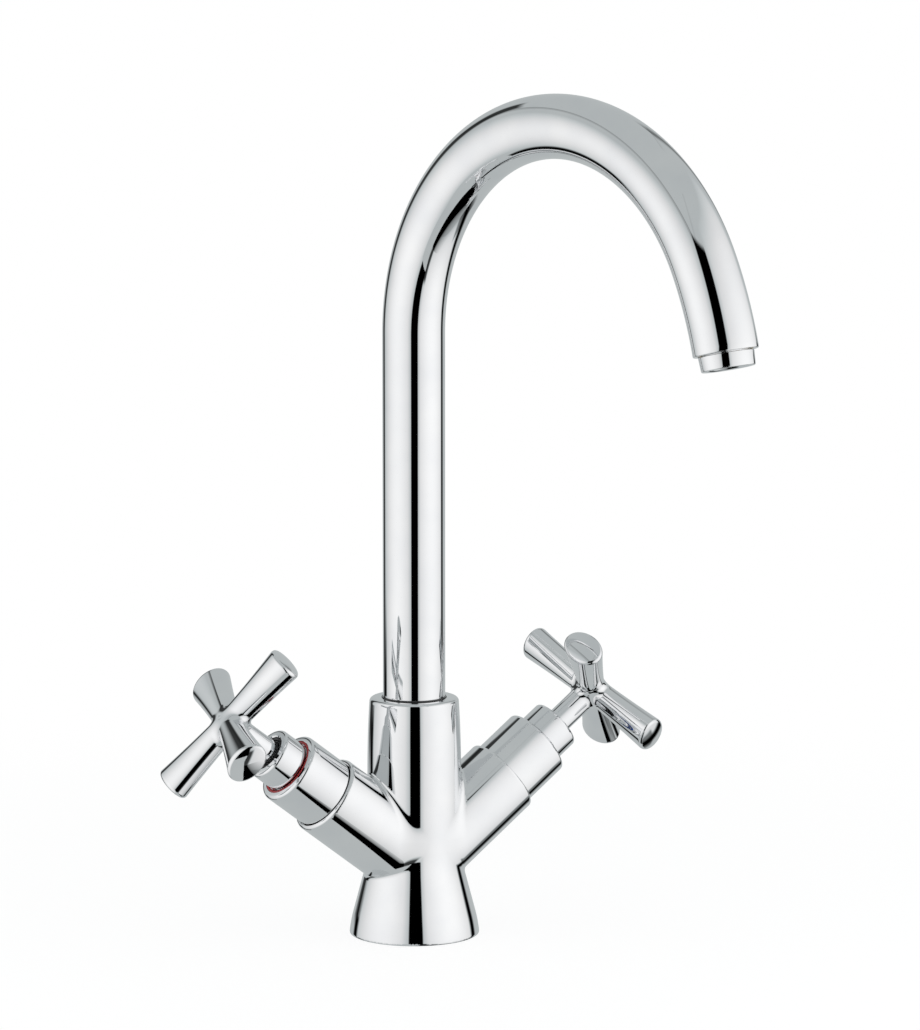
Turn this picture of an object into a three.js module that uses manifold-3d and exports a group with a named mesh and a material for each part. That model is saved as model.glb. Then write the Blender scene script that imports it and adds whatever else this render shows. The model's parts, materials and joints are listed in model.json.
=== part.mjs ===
// Two-handle kitchen faucet: a Y-shaped cast body on a conical foot, two inclined quarter-turn
// ceramic valves with cross handles, and a swivelling swan-neck spout with an aerator.
// Millimetres, +Z up. The origin is the centre of the foot's flat underside. The valves lie along
// X, hot on -X and cold on +X, and the front is -Y.

import * as THREE from 'three';
import { mergeVertices } from 'three/addons/utils/BufferGeometryUtils.js';
import Module from 'manifold-3d';

const wasm = await Module();
wasm.setup();

// Clearances
const turnGap = 0.3;            // between pieces that turn on each other
const seatGap = 0.3;            // between pieces that are fastened together

// Cast body: conical foot and column
const footRadius = 25.2;
const footEdge = 0.8;
const skirtRadius = 23.7;       // the cone's lower end, above the steeper rim of the foot
const skirtHeight = 8.5;
const waistRadius = 18.1;       // the cone's upper end and the column's widest stretch
const waistHeight = 29.6;
const barrelStart = 62;         // the column narrows from here to its top
const barrelRadius = 17.85;
const barrelHeight = 78;
const columnRadius = 17.25;     // at the top
const columnHeight = 92.3;
const columnEdge = 1.5;

// Valve arms of the body
const armRise = 37.3;           // degrees above the horizontal
const armAxisHeight = 28.65;    // where both arm axes meet the column's axis
const armRadius = 15.7;
const armLength = 49.5;
const armEdge = 1.3;
const valveBoreRadius = 10.8;
const valveBoreFloor = 20;      // along the arm, from the column's axis

// Waterways and fixings in the body
const chamberRadius = 6.5;
const chamberDepth = 45.9;      // its floor, below the column's top
const inletOffset = 9;
const inletRadius = 4.8;
const inletDepth = 16;
const passageRadius = 3.2;
const studOffset = 14;
const studRadius = 3.4;
const studDepth = 18;

// Seal in the foot
const gasketInner = 19.3;
const gasketOuter = 22.3;
const gasketHeight = 1.7;

// Spout
const tubeRadius = 12;
const tubeWall = 1.5;
const riserTop = 233.85;        // where the straight riser ends
const bendRadius = 82.9;
const bendTurn = 152.97;        // degrees, then the gentler end bend
const endBendRadius = 145.4;
const endBendTurn = 13.17;
const spoutSwing = 13.3;        // degrees from the front towards the cold side
const socketDepth = 7.9;        // the wide mouth that takes the tube's foot
const glideRingHeight = 1.6;

// Brass tail in the tube's foot
const tailRadius = 9.4;
const tailBore = 6.5;
const tailLength = 26;          // below the wide mouth
const tailPlug = 10;            // inside the tube
const sealSection = 0.8;        // radius of a spout seal's section
const sealGrooveDepth = 1.9;
const sealStart = 4.8;          // the lower seal, above the tail's foot
const sealPitch = 8;
const retainerDrop = 13.9;      // the grub screw in the tail's groove, below the column's top
const retainerRadius = 2;

// Aerator, measured along the tube's end
const outletLength = 5.8;       // the visible ring
const outletRadius = 10.2;
const outletTaper = 0.3;
const outletLip = 0.5;
const threadDepth = 6;
const threadRadius = 8.9;
const outletBore = 7.6;
const flowFlange = 1.2;
const flowRecess = 1.2;         // the insert lies this far inside the ring
const flowHoleRadius = 1.2;
const flowHoleCircle = 4.4;
const flowHoles = 6;
const outletWasherInner = 6.4;
const outletWasherHeight = 1.5;

// Cover sleeve, index ring and bonnet, measured along the arm
const coverRadius = 14.05;
const coverLength = 19.5;
const coverSink = 3.6;
const coverWall = 2;
const coverEdge = 1.4;
const indexRingInner = 10.7;
const indexRingOuter = 11.85;
const indexRingDepth = 0.9;
const bonnetRadius = 10.3;
const bonnetLength = 10.5;
const bonnetEdge = 1.3;
const bonnetLedge = 2.5;
const bushWall = 1.4;
const bushFlange = 1.4;

// Quarter-turn cartridge
const washerHeight = 2.8;
const washerInner = 4.5;
const discRadius = 8.2;
const discHeight = 2.6;
const windowInner = 1.2;
const windowOuter = 6.4;
const windowSpread = 35;        // degrees, to each side
const cupLength = 13;
const neckRadius = 8.6;
const neckPastCover = 3.5;
const hexLength = 5;
const flangeHeight = 2.2;
const shankRadius = 4.6;
const spindleHeadRadius = 7.2;
const spindleHeadHeight = 4;
const tongueWidth = 3;
const tongueLength = 9.6;
const valveSealSection = 0.65;
const clipThickness = 0.8;
const clipRadius = 6.6;
const clipGroove = 3.6;
const clipOpening = 22.5;       // degrees, to each side
const squareWidth = 5.2;

// Cross handles
const stemRadius = 5;
const stemLength = 20.4;        // bonnet's face to the cross's centre
const stemSink = 3.9;           // inside the bonnet
const crossReach = 32.1;        // centre to an arm's end
const crossRootWidth = 4.1;     // half width at the centre, across the cross
const crossTipWidth = 8.25;
const crossRootDepth = 4.5;     // half depth at the centre, along the stem
const crossTipDepth = 6.1;
const crossEdge = 0.8;
const hotHandleTurn = 68.3;     // degrees about the stem, as it rests
const coldHandleTurn = 37.2;
const setScrewRadius = 1.5;
const setScrewDrop = 13;        // below the cross's centre
const setScrewLength = 1.8;
const setScrewTurn = 225;       // degrees round the stem, between two arms

// Facets round a turned piece
const bodySides = 28;
const tubeSides = 24;
const coverSides = 24;
const crossSides = 20;
const innerSides = 16;
const smallSides = 8;
const sealSides = 6;            // round a seal's section

const degree = Math.PI / 180;
const overshoot = 1;            // how far a cut runs past the face that it opens
const sealSlack = 0.1;          // between a seal and its groove's floor

// Materials
function finish(color, roughness, metalness) {
  return () => new THREE.MeshStandardMaterial({ color, roughness, metalness });
}
const chrome = finish(0xd9dcde, 0.06, 1);
const brass = finish(0xc9a052, 0.3, 1);
const steel = finish(0xb4b8bb, 0.25, 1);
const ceramic = finish(0xf1ede2, 0.25, 0);
const rubber = finish(0x1c1c1d, 0.8, 0);
const nylon = finish(0xe9e7df, 0.5, 0);
const blackPlastic = finish(0x19191a, 0.45, 0);
const hotRed = finish(0xa01418, 0.35, 0);
const coldBlue = finish(0x1a4fa0, 0.35, 0);

// Geometry helpers

// Welds shared corners and drops the empty triangles at a turned piece's poles.
function welded(geometry) {
  const bare = new THREE.BufferGeometry();
  bare.setAttribute('position', geometry.getAttribute('position'));
  bare.setIndex(geometry.getIndex());
  const merged = mergeVertices(bare, 1e-4);
  const corners = merged.getIndex().array;
  const kept = [];
  for (let i = 0; i < corners.length; i += 3) {
    const [a, b, c] = corners.slice(i, i + 3);
    if (a !== b && b !== c && c !== a) {
      kept.push(a, b, c);
    }
  }
  merged.setIndex(kept);
  return merged;
}

function toSolid(geometry) {
  const mesh = welded(geometry);
  const vertProperties = new Float32Array(mesh.getAttribute('position').array);
  const triVerts = new Uint32Array(mesh.getIndex().array);
  return new wasm.Manifold(new wasm.Mesh({ numProp: 3, vertProperties, triVerts }));
}

function toGeometry(solid) {
  const mesh = solid.getMesh();
  const geometry = new THREE.BufferGeometry();
  geometry.setAttribute('position', new THREE.BufferAttribute(mesh.vertProperties, 3));
  geometry.setIndex(Array.from(mesh.triVerts));
  return geometry;
}

function joined(first, ...rest) {
  return toGeometry(rest.reduce((solid, other) => solid.add(toSolid(other)), toSolid(first)));
}

function cutFrom(first, ...tools) {
  return toGeometry(tools.reduce((solid, tool) => solid.subtract(toSolid(tool)), toSolid(first)));
}

// Turns a profile of [radius, height] points about Z. It runs up the outside, and starts and ends
// on the axis.
function turned(profile, sides) {
  const points = profile.map(([radius, height]) => new THREE.Vector2(radius, height));
  return new THREE.LatheGeometry(points, sides).rotateX(Math.PI / 2);
}

// Turns a ring's section, given from its inner lower corner round the outside.
function turnedRing(profile, sides) {
  return turned([...profile, profile[0]], sides);
}

function plainRing(inner, outer, low, high, sides) {
  return turnedRing([[inner, low], [outer, low], [outer, high], [inner, high]], sides);
}

function drum(radius, low, high, sides) {
  return turned([[0, low], [radius, low], [radius, high], [0, high]], sides);
}

function turnFromUp(way) {
  return new THREE.Quaternion().setFromUnitVectors(new THREE.Vector3(0, 0, 1), way);
}

function drumBetween(radius, start, end, sides) {
  const way = end.clone().sub(start);
  const turn = turnFromUp(way.clone().normalize());
  const geometry = drum(radius, 0, way.length(), sides).applyQuaternion(turn);
  return geometry.translate(start.x, start.y, start.z);
}

// A seal that lies in a groove of the same number of facets.
function sealRing(grooveRadius, sectionRadius, height, sides) {
  const centreRadius = grooveRadius + sectionRadius + sealSlack;
  return new THREE.TorusGeometry(centreRadius, sectionRadius, sealSides, sides).translate(0, 0, height);
}

// Points of a rounded corner, from one angle to another, both in degrees.
function corner(centreX, centreY, radius, from, to, steps = 3) {
  return Array.from({ length: steps + 1 }, (_, i) => {
    const angle = (from + ((to - from) * i) / steps) * degree;
    return [centreX + radius * Math.cos(angle), centreY + radius * Math.sin(angle)];
  });
}

// The radius that keeps a faceted hole's flats clear of a round of this radius.
function holeFor(radius, gap, sides) {
  return (radius + gap) / Math.cos(Math.PI / sides);
}

function prism(outline, low, high) {
  const depth = high - low;
  return new THREE.ExtrudeGeometry(outline, { depth, bevelEnabled: false, curveSegments: smallSides })
    .translate(0, 0, low);
}

function rectangle(width, length) {
  const shape = new THREE.Shape();
  shape.moveTo(-width / 2, -length / 2);
  shape.lineTo(width / 2, -length / 2);
  shape.lineTo(width / 2, length / 2);
  shape.lineTo(-width / 2, length / 2);
  shape.closePath();
  return shape;
}

function square(width) {
  return rectangle(width, width);
}

function hexagon(cornerRadius) {
  const points = Array.from({ length: 6 }, (_, i) => {
    const angle = (i * Math.PI) / 3;
    return new THREE.Vector2(cornerRadius * Math.cos(angle), cornerRadius * Math.sin(angle));
  });
  return new THREE.Shape(points);
}

function piece(name, geometry, material) {
  const mesh = new THREE.Mesh(welded(geometry), material());
  mesh.name = name;
  mesh.geometry.computeVertexNormals();
  return mesh;
}

// Stations along an arm, from the column's axis outwards
const counterboreFloor = armLength - coverSink - seatGap;
const coverFoot = armLength - coverSink;
const coverEnd = armLength + coverLength;
const bonnetFoot = coverEnd + seatGap;
const bonnetEnd = coverEnd + bonnetLength;
const hubStation = bonnetEnd + stemLength;
const stemFoot = bonnetEnd - stemSink;
const washerFoot = valveBoreFloor + seatGap;
const fixedDiscFoot = washerFoot + washerHeight + seatGap;
const movingDiscFoot = fixedDiscFoot + discHeight + turnGap;
const headFoot = movingDiscFoot + discHeight + turnGap;
const headEnd = headFoot + spindleHeadHeight;
const cartridgeFoot = washerFoot + washerHeight / 2;
const cupEnd = cartridgeFoot + cupLength;
const flangeFoot = counterboreFloor + seatGap;
const hexFoot = flangeFoot + flangeHeight;
const hexEnd = hexFoot + hexLength;
const neckEnd = coverEnd + neckPastCover;
const clipFoot = neckEnd + turnGap;
const squareFoot = clipFoot + clipThickness + turnGap;
const squareEnd = hubStation - crossRootDepth;
const cartridgeSealStation = (cupEnd + counterboreFloor) / 2;
const spindleSealStation = (hexEnd + coverEnd) / 2;

// Radii that follow from the pieces inside one another
const cartridgeRadius = valveBoreRadius * Math.cos(Math.PI / innerSides) - seatGap;
const cupBore = holeFor(discRadius, turnGap, innerSides);
const shankBore = holeFor(shankRadius, turnGap, innerSides);
const neckBore = holeFor(neckRadius, seatGap, coverSides);
const counterboreRadius = holeFor(coverRadius, seatGap, bodySides);
const coverBore = coverRadius - coverWall;
const bushBore = holeFor(stemRadius, turnGap, innerSides);
const bushRadius = bushBore + bushWall;
const bonnetMouth = holeFor(bushRadius, seatGap, coverSides);
const cartridgeFlange = coverBore * Math.cos(Math.PI / coverSides) - seatGap;
const cartridgeSealGroove = cartridgeRadius - 2 * valveSealSection;
const spindleSealGroove = shankRadius - 2 * valveSealSection;
const tubeBore = (tubeRadius - tubeWall) * Math.cos(Math.PI / tubeSides);
const threadBore = holeFor(threadRadius, seatGap, coverSides);
const setScrewTip = squareWidth / 2 + seatGap;
const setScrewHead = setScrewTip + setScrewLength;

// Heights in the column
const socketFloor = columnHeight - socketDepth;
const chamberFloor = columnHeight - chamberDepth;
const retainerHeight = columnHeight - retainerDrop;
const socketRadius = holeFor(tubeRadius, turnGap, bodySides);
const glideRingFoot = socketFloor + seatGap;
const tubeFoot = glideRingFoot + glideRingHeight + turnGap;
const tailFoot = socketFloor - tailLength;
const lowerSeal = tailFoot + sealStart;
const upperSeal = lowerSeal + sealPitch;
const tailSocketRadius = holeFor(tailRadius, turnGap, bodySides);
const sealGrooveRadius = tailRadius - sealGrooveDepth;
const retainerHole = holeFor(retainerRadius, seatGap, smallSides);
const retainerTip = sealGrooveRadius + turnGap;

// Cast body

function columnOutline() {
  return [
    [0, 0],
    ...corner(footRadius - footEdge, footEdge, footEdge, -90, 0, 2),
    [skirtRadius, skirtHeight],
    [waistRadius, waistHeight],
    [waistRadius, barrelStart],
    [barrelRadius, barrelHeight],
    ...corner(columnRadius - columnEdge, columnHeight - columnEdge, columnEdge, 0, 90),
    [0, columnHeight],
  ];
}

function armOutline() {
  return [
    [0, 0],
    [armRadius, 0],
    ...corner(armRadius - armEdge, armLength - armEdge, armEdge, 0, 90),
    [0, armLength],
  ];
}

// Lays a piece modelled along +Z on a valve arm: side is 1 for cold, on +X, and -1 for hot.
function alongArm(geometry, side) {
  geometry.rotateY(Math.PI / 2 - armRise * degree);
  geometry.translate(0, 0, armAxisHeight);
  return side > 0 ? geometry : geometry.rotateZ(Math.PI);
}

function armPoint(station, side) {
  const out = side * station * Math.cos(armRise * degree);
  return new THREE.Vector3(out, 0, armAxisHeight + station * Math.sin(armRise * degree));
}

function mixerBody() {
  const sides = [-1, 1];
  const arms = sides.map((side) => alongArm(turned(armOutline(), bodySides), side));
  const casting = joined(turned(columnOutline(), bodySides), ...arms);
  const gasketGroove = plainRing(
    gasketInner - seatGap,
    gasketOuter + seatGap,
    -overshoot,
    gasketHeight + seatGap,
    bodySides,
  );
  const valveBores = sides.flatMap((side) => [
    alongArm(drum(counterboreRadius, counterboreFloor, armLength + overshoot, bodySides), side),
    alongArm(drum(valveBoreRadius, valveBoreFloor, counterboreFloor + overshoot, innerSides), side),
  ]);
  const waterways = sides.flatMap((side) => {
    const inletTop = new THREE.Vector3(side * inletOffset, 0, inletDepth - overshoot);
    const chamberStart = new THREE.Vector3(0, 0, chamberFloor + passageRadius + overshoot);
    const outletWindow = armPoint(movingDiscFoot, side);
    return [
      drum(inletRadius, -overshoot, inletDepth, innerSides).translate(side * inletOffset, 0, 0),
      drumBetween(passageRadius, inletTop, armPoint(valveBoreFloor + overshoot, side), smallSides),
      drumBetween(passageRadius, chamberStart, outletWindow, smallSides),
    ];
  });
  const retainerWay = drumBetween(
    retainerHole,
    new THREE.Vector3(0, tailRadius - overshoot, retainerHeight),
    new THREE.Vector3(0, waistRadius + overshoot, retainerHeight),
    smallSides,
  );
  return cutFrom(
    casting,
    ...valveBores,
    drum(chamberRadius, chamberFloor, tailFoot, innerSides),
    drum(tailSocketRadius, tailFoot - seatGap, socketFloor + overshoot, bodySides),
    drum(socketRadius, socketFloor, columnHeight + overshoot, bodySides),
    ...waterways,
    retainerWay,
    drum(studRadius, -overshoot, studDepth, smallSides).translate(0, studOffset, 0),
    gasketGroove,
  );
}

// Spout

// The swan neck in the XZ plane: a straight riser, the main bend, and a gentler bend at the end.
// It is measured in steps, one along the riser and then one for each facet of the bends.
class SwanNeck extends THREE.Curve {
  constructor(foot) {
    super();
    this.foot = foot;
    this.bendSteps = 20;
    this.endSteps = 2;
    this.steps = 1 + this.bendSteps + this.endSteps;
  }

  angleAt(u) {
    const step = u * this.steps - 1;
    if (step <= this.bendSteps) {
      return Math.max(step, 0) * (bendTurn / this.bendSteps) * degree;
    }
    return (bendTurn + (step - this.bendSteps) * (endBendTurn / this.endSteps)) * degree;
  }

  getPointAt(u, target = new THREE.Vector3()) {
    const angle = this.angleAt(u);
    const main = Math.min(angle, bendTurn * degree);
    const mainReach = bendRadius * (1 - Math.cos(main));
    const mainRise = bendRadius * Math.sin(main);
    const endReach = endBendRadius * (Math.cos(main) - Math.cos(angle));
    const endRise = endBendRadius * (Math.sin(angle) - Math.sin(main));
    const start = THREE.MathUtils.lerp(this.foot, riserTop, Math.min(u * this.steps, 1));
    return target.set(mainReach + endReach, 0, start + mainRise + endRise);
  }

  getTangentAt(u, target = new THREE.Vector3()) {
    const angle = this.angleAt(u);
    return target.set(Math.sin(angle), 0, Math.cos(angle));
  }
}

function spoutTube(path) {
  const section = new THREE.Shape();
  section.absarc(0, 0, tubeRadius, 0, 2 * Math.PI);
  const bore = new THREE.Path();
  bore.absarc(0, 0, tubeRadius - tubeWall, 0, 2 * Math.PI);
  section.holes.push(bore);
  return new THREE.ExtrudeGeometry(section, {
    extrudePath: path,
    steps: path.steps,
    curveSegments: tubeSides / 2,
    bevelEnabled: false,
  });
}

function spoutTail() {
  const plugRadius = tubeBore - seatGap;
  const grooves = [
    [lowerSeal, sealSection + turnGap],
    [upperSeal, sealSection + turnGap],
    [retainerHeight, retainerRadius + turnGap],
  ];
  const outside = grooves.flatMap(([height, half]) => [
    [tailRadius, height - half],
    [sealGrooveRadius, height - half],
    [sealGrooveRadius, height + half],
    [tailRadius, height + half],
  ]);
  return turnedRing([
    [tailBore, tailFoot],
    [tailRadius, tailFoot],
    ...outside,
    [tailRadius, tubeFoot + seatGap],
    [plugRadius, tubeFoot + seatGap],
    [plugRadius, tubeFoot + tailPlug],
    [tailBore, tubeFoot + tailPlug],
  ], innerSides);
}

function tailSeal(height) {
  return sealRing(sealGrooveRadius, sealSection, height, innerSides);
}

function glideRing() {
  const inner = holeFor(tailRadius, seatGap, innerSides);
  return plainRing(inner, tubeRadius, glideRingFoot, glideRingFoot + glideRingHeight, innerSides);
}

function retainingScrew() {
  const tip = new THREE.Vector3(0, retainerTip, retainerHeight);
  const head = new THREE.Vector3(0, columnRadius - seatGap, retainerHeight);
  const keyFloor = head.clone().setY(head.y - retainerRadius);
  const keyMouth = head.clone().setY(head.y + overshoot);
  const shank = drumBetween(retainerRadius, tip, head, smallSides);
  return cutFrom(shank, drumBetween(retainerRadius / 2, keyFloor, keyMouth, sealSides));
}

// Aerator, along +Z from the tube's end

function aeratorSocket() {
  return plainRing(threadBore, tubeBore - seatGap, -threadDepth - seatGap, -seatGap, coverSides);
}

function aeratorHousing() {
  const tip = outletRadius - outletTaper;
  return turnedRing([
    [outletBore, -threadDepth],
    [threadRadius, -threadDepth],
    [threadRadius, seatGap],
    [outletRadius, seatGap],
    [tip, outletLength - outletLip],
    [tip - outletLip, outletLength],
    [outletBore, outletLength],
  ], coverSides);
}

function aeratorCartridge() {
  const foot = -threadDepth - seatGap - flowFlange;
  const barrel = outletBore * Math.cos(Math.PI / coverSides) - seatGap;
  const flange = threadRadius - seatGap;
  const end = outletLength - flowRecess;
  const body = turned([
    [0, foot],
    [flange, foot],
    [flange, foot + flowFlange],
    [barrel, foot + flowFlange],
    [barrel, end],
    [0, end],
  ], innerSides);
  const holes = Array.from({ length: flowHoles }, (_, i) => {
    const angle = (i * 2 * Math.PI) / flowHoles;
    return drum(flowHoleRadius, foot - overshoot, end + overshoot, smallSides)
      .translate(flowHoleCircle * Math.cos(angle), flowHoleCircle * Math.sin(angle), 0);
  });
  return cutFrom(body, ...holes);
}

function aeratorWasher() {
  const top = -threadDepth - 2 * seatGap - flowFlange;
  const outer = threadRadius - seatGap;
  return plainRing(outletWasherInner, outer, top - outletWasherHeight, top, innerSides);
}

// Valve, along +Z from the column's axis

function coverSleeve() {
  const grooveFloor = coverEnd - indexRingDepth - seatGap;
  return turnedRing([
    [coverBore, coverFoot],
    [coverRadius, coverFoot],
    ...corner(coverRadius - coverEdge, coverEnd - coverEdge, coverEdge, 0, 90),
    [indexRingOuter + seatGap, coverEnd],
    [indexRingOuter + seatGap, grooveFloor],
    [indexRingInner - seatGap, grooveFloor],
    [indexRingInner - seatGap, coverEnd],
    [neckBore, coverEnd],
    [neckBore, grooveFloor - coverWall],
    [coverBore, grooveFloor - coverWall],
  ], coverSides);
}

function indexRing() {
  return plainRing(indexRingInner, indexRingOuter, coverEnd - indexRingDepth, coverEnd, coverSides);
}

function bonnet() {
  return turnedRing([
    [neckBore, bonnetFoot],
    [bonnetRadius, bonnetFoot],
    ...corner(bonnetRadius - bonnetEdge, bonnetEnd - bonnetEdge, bonnetEdge, 0, 90),
    [bonnetMouth, bonnetEnd],
    [bonnetMouth, bonnetEnd - bonnetLedge],
    [neckBore, bonnetEnd - bonnetLedge],
  ], coverSides);
}

function handleBush() {
  const ledge = bonnetEnd - bonnetLedge - seatGap;
  return turnedRing([
    [bushBore, ledge - bushFlange],
    [neckRadius, ledge - bushFlange],
    [neckRadius, ledge],
    [bushRadius, ledge],
    [bushRadius, bonnetEnd - seatGap],
    [bushBore, bonnetEnd - seatGap],
  ], innerSides);
}

function seatWasher() {
  return plainRing(washerInner, discRadius, washerFoot, washerFoot + washerHeight, innerSides);
}

// Two opposite quarter windows, as both discs have.
function discWindows(foot) {
  return [0, Math.PI].map((turn) => {
    const window = new THREE.Shape();
    window.moveTo(windowInner, 0);
    window.absarc(0, 0, windowOuter, -windowSpread * degree, windowSpread * degree);
    window.closePath();
    return prism(window, foot - overshoot, foot + discHeight + overshoot).rotateZ(turn);
  });
}

function fixedDisc() {
  const blank = drum(discRadius, fixedDiscFoot, fixedDiscFoot + discHeight, innerSides);
  return cutFrom(blank, ...discWindows(fixedDiscFoot));
}

// The moving disc has the same windows a quarter turn away, and a slot for the spindle's tongue.
function movingDisc() {
  const blank = drum(discRadius, movingDiscFoot, movingDiscFoot + discHeight, innerSides);
  const windows = discWindows(movingDiscFoot).map((window) => window.rotateZ(Math.PI / 2));
  const slot = rectangle(tongueLength + 2 * seatGap, tongueWidth + 2 * seatGap);
  const slotFloor = movingDiscFoot + discHeight / 2 - seatGap;
  return cutFrom(blank, ...windows, prism(slot, slotFloor, movingDiscFoot + discHeight + overshoot));
}

function cartridgeBody() {
  const grooveHalf = valveSealSection + seatGap;
  const shell = turnedRing([
    [cupBore, cartridgeFoot],
    [cartridgeRadius, cartridgeFoot],
    [cartridgeRadius, cartridgeSealStation - grooveHalf],
    [cartridgeSealGroove, cartridgeSealStation - grooveHalf],
    [cartridgeSealGroove, cartridgeSealStation + grooveHalf],
    [cartridgeRadius, cartridgeSealStation + grooveHalf],
    [cartridgeRadius, flangeFoot],
    [cartridgeFlange, flangeFoot],
    [cartridgeFlange, hexFoot],
    [neckRadius, hexFoot],
    [neckRadius, neckEnd],
    [shankBore, neckEnd],
    [shankBore, cupEnd],
    [cupBore, cupEnd],
  ], innerSides);
  const hex = cutFrom(
    prism(hexagon(coverBore - 2 * seatGap), hexFoot - seatGap, hexEnd),
    drum(neckRadius - seatGap, hexFoot - overshoot, hexEnd + overshoot, innerSides),
  );
  const windowWay = rectangle(discRadius, 2 * (cartridgeRadius + overshoot));
  return cutFrom(joined(shell, hex), prism(windowWay, movingDiscFoot - seatGap, headEnd));
}

function cartridgeSeal() {
  return sealRing(cartridgeSealGroove, valveSealSection, cartridgeSealStation, innerSides);
}

function spindle() {
  const grooveHalf = valveSealSection + turnGap;
  const shankEnd = squareFoot + clipThickness;
  const shank = turned([
    [0, headFoot],
    [spindleHeadRadius, headFoot],
    [spindleHeadRadius, headEnd],
    [shankRadius, headEnd],
    [shankRadius, spindleSealStation - grooveHalf],
    [spindleSealGroove, spindleSealStation - grooveHalf],
    [spindleSealGroove, spindleSealStation + grooveHalf],
    [shankRadius, spindleSealStation + grooveHalf],
    [shankRadius, clipFoot - seatGap],
    [clipGroove, clipFoot - seatGap],
    [clipGroove, squareFoot],
    [shankRadius, squareFoot],
    [shankRadius, shankEnd],
    [0, shankEnd],
  ], innerSides);
  const tongueFoot = movingDiscFoot + discHeight / 2;
  const tongue = prism(rectangle(tongueLength, tongueWidth), tongueFoot, headFoot + overshoot);
  const end = prism(square(squareWidth), squareFoot, squareEnd - seatGap).rotateZ(Math.PI / 4);
  return joined(shank, tongue, end);
}

function spindleSeal() {
  return sealRing(spindleSealGroove, valveSealSection, spindleSealStation, innerSides);
}

function spindleClip() {
  const start = clipOpening * degree;
  const end = 2 * Math.PI - start;
  const ring = new THREE.Shape();
  ring.absarc(0, 0, clipRadius, start, end);
  ring.absarc(0, 0, clipGroove + seatGap, end, start, true);
  ring.closePath();
  return prism(ring, clipFoot, clipFoot + clipThickness);
}

// One flared arm of the cross, along +Y: round sections that widen more across than in depth.
function crossArm() {
  const halfDepthShare = (reach) => {
    const share = reach / crossReach;
    const width = THREE.MathUtils.lerp(crossRootWidth, crossTipWidth, share);
    return THREE.MathUtils.lerp(crossRootDepth, crossTipDepth, share) / width;
  };
  const profile = [
    [0, 0],
    [crossRootWidth, 0],
    ...corner(crossTipWidth - crossEdge, crossReach - crossEdge, crossEdge, 0, 90, 2),
    [0, crossReach],
  ];
  const points = profile.map(([radius, reach]) => new THREE.Vector2(radius, reach));
  const arm = new THREE.LatheGeometry(points, crossSides);
  const position = arm.getAttribute('position');
  for (let i = 0; i < position.count; i += 1) {
    position.setZ(i, position.getZ(i) * halfDepthShare(position.getY(i)));
  }
  return arm;
}

function crossHandle() {
  const arms = [0, 1, 2, 3].map((quarter) =>
    crossArm().rotateZ((quarter * Math.PI) / 2).translate(0, 0, hubStation));
  const stem = drum(stemRadius, stemFoot, hubStation, crossSides);
  const bore = prism(square(squareWidth + 2 * seatGap), stemFoot - overshoot, squareEnd);
  return cutFrom(
    joined(stem, ...arms),
    bore.rotateZ(Math.PI / 4),
    stemRound(setScrewRadius + seatGap, 0, setScrewHead + overshoot),
  );
}

// A round across the stem, where the set screw bears on a flat of the spindle's square.
function stemRound(radius, inner, outer) {
  const start = new THREE.Vector3(0, inner, hubStation - setScrewDrop);
  const end = new THREE.Vector3(0, outer, hubStation - setScrewDrop);
  return drumBetween(radius, start, end, smallSides).rotateZ(setScrewTurn * degree);
}

function handleSetScrew() {
  return stemRound(setScrewRadius, setScrewTip, setScrewHead);
}

// One valve: what stays in the body and what turns with the handle.
function valve(side, name, handleTurn, indexColour) {
  const fixed = [
    piece(`${name}_seat_washer`, seatWasher(), rubber),
    piece(`${name}_fixed_disc`, fixedDisc(), ceramic),
    piece(`${name}_cartridge_body`, cartridgeBody(), brass),
    piece(`${name}_cartridge_oring`, cartridgeSeal(), rubber),
    piece(`${name}_cover`, coverSleeve(), chrome),
    piece(`${name}_index_ring`, indexRing(), indexColour),
    piece(`${name}_bonnet`, bonnet(), chrome),
    piece(`${name}_handle_bush`, handleBush(), blackPlastic),
  ];
  const turning = [
    piece(`${name}_moving_disc`, movingDisc(), ceramic),
    piece(`${name}_spindle`, spindle(), brass),
    piece(`${name}_spindle_oring`, spindleSeal(), rubber),
    piece(`${name}_spindle_clip`, spindleClip(), steel),
    piece(`${name}_handle`, crossHandle(), chrome),
    piece(`${name}_handle_set_screw`, handleSetScrew(), steel),
  ];
  const handleGroup = new THREE.Group();
  handleGroup.rotation.z = handleTurn * degree;
  handleGroup.add(...turning);
  const armGroup = new THREE.Group();
  armGroup.position.z = armAxisHeight;
  armGroup.rotation.y = Math.PI / 2 - armRise * degree;
  armGroup.add(...fixed, handleGroup);
  const sideGroup = new THREE.Group();
  sideGroup.rotation.z = side > 0 ? 0 : Math.PI;
  sideGroup.add(armGroup);
  return sideGroup;
}

function spout() {
  const path = new SwanNeck(tubeFoot);
  const end = path.getPointAt(1);
  const way = path.getTangentAt(1);
  const aerator = new THREE.Group();
  aerator.position.copy(end);
  aerator.quaternion.copy(turnFromUp(way));
  aerator.add(
    piece('aerator_socket', aeratorSocket(), brass),
    piece('aerator_housing', aeratorHousing(), chrome),
    piece('aerator_cartridge', aeratorCartridge(), nylon),
    piece('aerator_washer', aeratorWasher(), rubber),
  );
  const group = new THREE.Group();
  group.rotation.z = (spoutSwing - 90) * degree;
  group.add(
    piece('spout_tube', spoutTube(path), chrome),
    piece('spout_tail', spoutTail(), brass),
    piece('spout_oring_lower', tailSeal(lowerSeal), rubber),
    piece('spout_oring_upper', tailSeal(upperSeal), rubber),
    aerator,
  );
  return group;
}

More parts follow.
